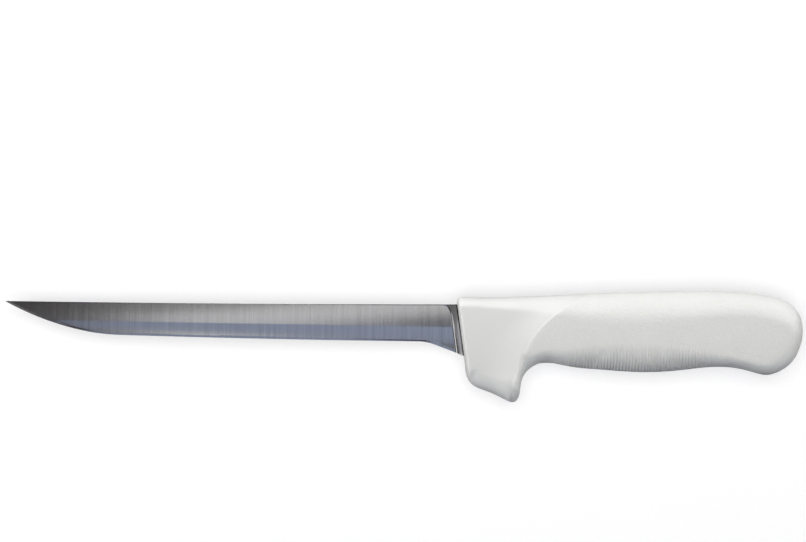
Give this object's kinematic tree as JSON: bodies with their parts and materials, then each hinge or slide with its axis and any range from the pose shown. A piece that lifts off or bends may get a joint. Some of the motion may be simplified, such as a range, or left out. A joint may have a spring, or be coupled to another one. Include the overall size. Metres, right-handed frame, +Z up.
{
  "type": "fillet knife",
  "caption": "Narrow fillet knife: thin ground steel blade with a swept point, hidden tang, and a moulded white plastic handle with a finger guard and a smooth collar.",
  "frame": {"origin": "centre of the footprint of the knife lying on its side, on the surface it lies on", "axes": "+X from the point to the butt, +Y from the cutting edge to the back, +Z up out of the knife's side"},
  "size_m": [0.3137, 0.0436, 0.0205],
  "materials": {
    "blade_steel": "cross-ground stainless steel, fine lines from back to edge",
    "white_plastic": "white polypropylene, smooth collar and guard, finely textured grip"
  },
  "bodies": {
    "root": {"blade": "blade_steel", "handle": "white_plastic"}
  },
  "joints": []
}
